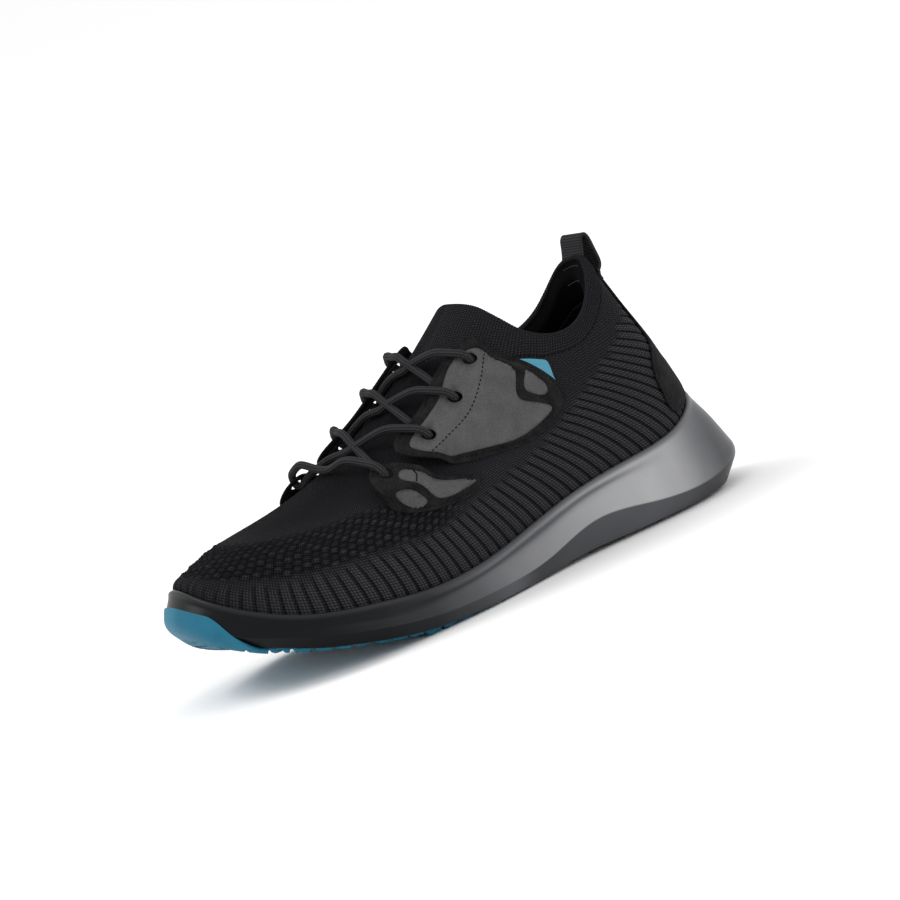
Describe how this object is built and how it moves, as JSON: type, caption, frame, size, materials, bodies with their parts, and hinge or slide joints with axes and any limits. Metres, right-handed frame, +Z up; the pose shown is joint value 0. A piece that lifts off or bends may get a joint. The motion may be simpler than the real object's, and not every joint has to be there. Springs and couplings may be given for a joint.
{
  "type": "running shoe",
  "caption": "Left knit running shoe with a sock-like collar, floating lace wings, flared moulded midsole and a rubber outsole wrapped over the toe.",
  "frame": {"origin": "centre of the bounding box in plan, on the ground plane under the outsole", "axes": "+Z up, -Y toward the toe, +Y toward the heel, +X toward the outer (lateral) side of this left shoe"},
  "size_m": [0.1034, 0.293, 0.1272],
  "materials": {
    "knit_fabric": "matte engineered knit, near black",
    "lining_fabric": "matte black jersey",
    "lining_patch": "smooth black lining patch",
    "padding_foam": "hidden grey padding foam",
    "stiffener_board": "hidden stiffener board",
    "microsuede": "black microsuede",
    "reflective_film": "grey reflective film with a fine speckle",
    "teal_fabric": "plain teal fabric",
    "braided_lace": "dark grey braid",
    "aglet_plastic": "black lace tip",
    "ribbed_webbing": "black ribbed webbing",
    "moulded_foam": "satin dark grey moulded foam",
    "blue_rubber": "petrol blue rubber, fine pebble",
    "black_rubber": "black rubber",
    "strobel_board": "off-white stitched board",
    "sockliner_foam": "black fabric over foam"
  },
  "bodies": {
    "shoe": {"outsole_forefoot": "blue_rubber", "outsole_heel": "black_rubber", "midsole": "moulded_foam", "strobel_board": "strobel_board", "knit_vamp": "knit_fabric", "knit_tongue": "knit_fabric", "knit_quarter_lateral": "knit_fabric", "knit_quarter_medial": "knit_fabric", "ribbed_cuff": "knit_fabric", "inner_lining": "lining_fabric", "heel_lining_panel": "lining_patch", "collar_foam": "padding_foam", "tongue_foam": "padding_foam", "heel_counter": "stiffener_board", "toe_puff": "stiffener_board", "heel_overlay": "microsuede", "heel_reflector": "reflective_film", "wing_lateral_upper": "microsuede", "wing_lateral_lower": "microsuede", "wing_medial_upper": "microsuede", "wing_medial_lower": "microsuede", "reflector_lateral_main": "reflective_film", "reflector_lateral_small": "reflective_film", "reflector_lateral_lower": "reflective_film", "reflector_lateral_oval": "reflective_film", "reflector_medial_main": "reflective_film", "reflector_medial_small": "reflective_film", "reflector_medial_lower": "reflective_film", "reflector_medial_oval": "reflective_film", "accent_tab_lateral": "teal_fabric", "accent_tab_medial": "teal_fabric", "pull_tab_inner_leg": "ribbed_webbing", "pull_tab_outer_leg": "ribbed_webbing", "lace": "braided_lace", "aglet_lateral": "aglet_plastic", "aglet_medial": "aglet_plastic"},
    "insole": {"sockliner": "sockliner_foam"},
    "tab": {"pull_tab_loop": "ribbed_webbing"}
  },
  "joints": [
    {"name": "sockliner_lift", "type": "hinge", "parent": "shoe", "child": "insole", "pos_m": [-0.00139, -0.12724, 0.0272], "axis": [1, 0, 0], "range_deg": [0, 6]},
    {"name": "pull_tab_fold", "type": "hinge", "parent": "shoe", "child": "tab", "pos_m": [-0.00139, 0.10856, 0.1192], "axis": [1, 0, 0], "range_deg": [-15, 15], "stiffness_Nm_per_rad": 0.01}
  ]
}
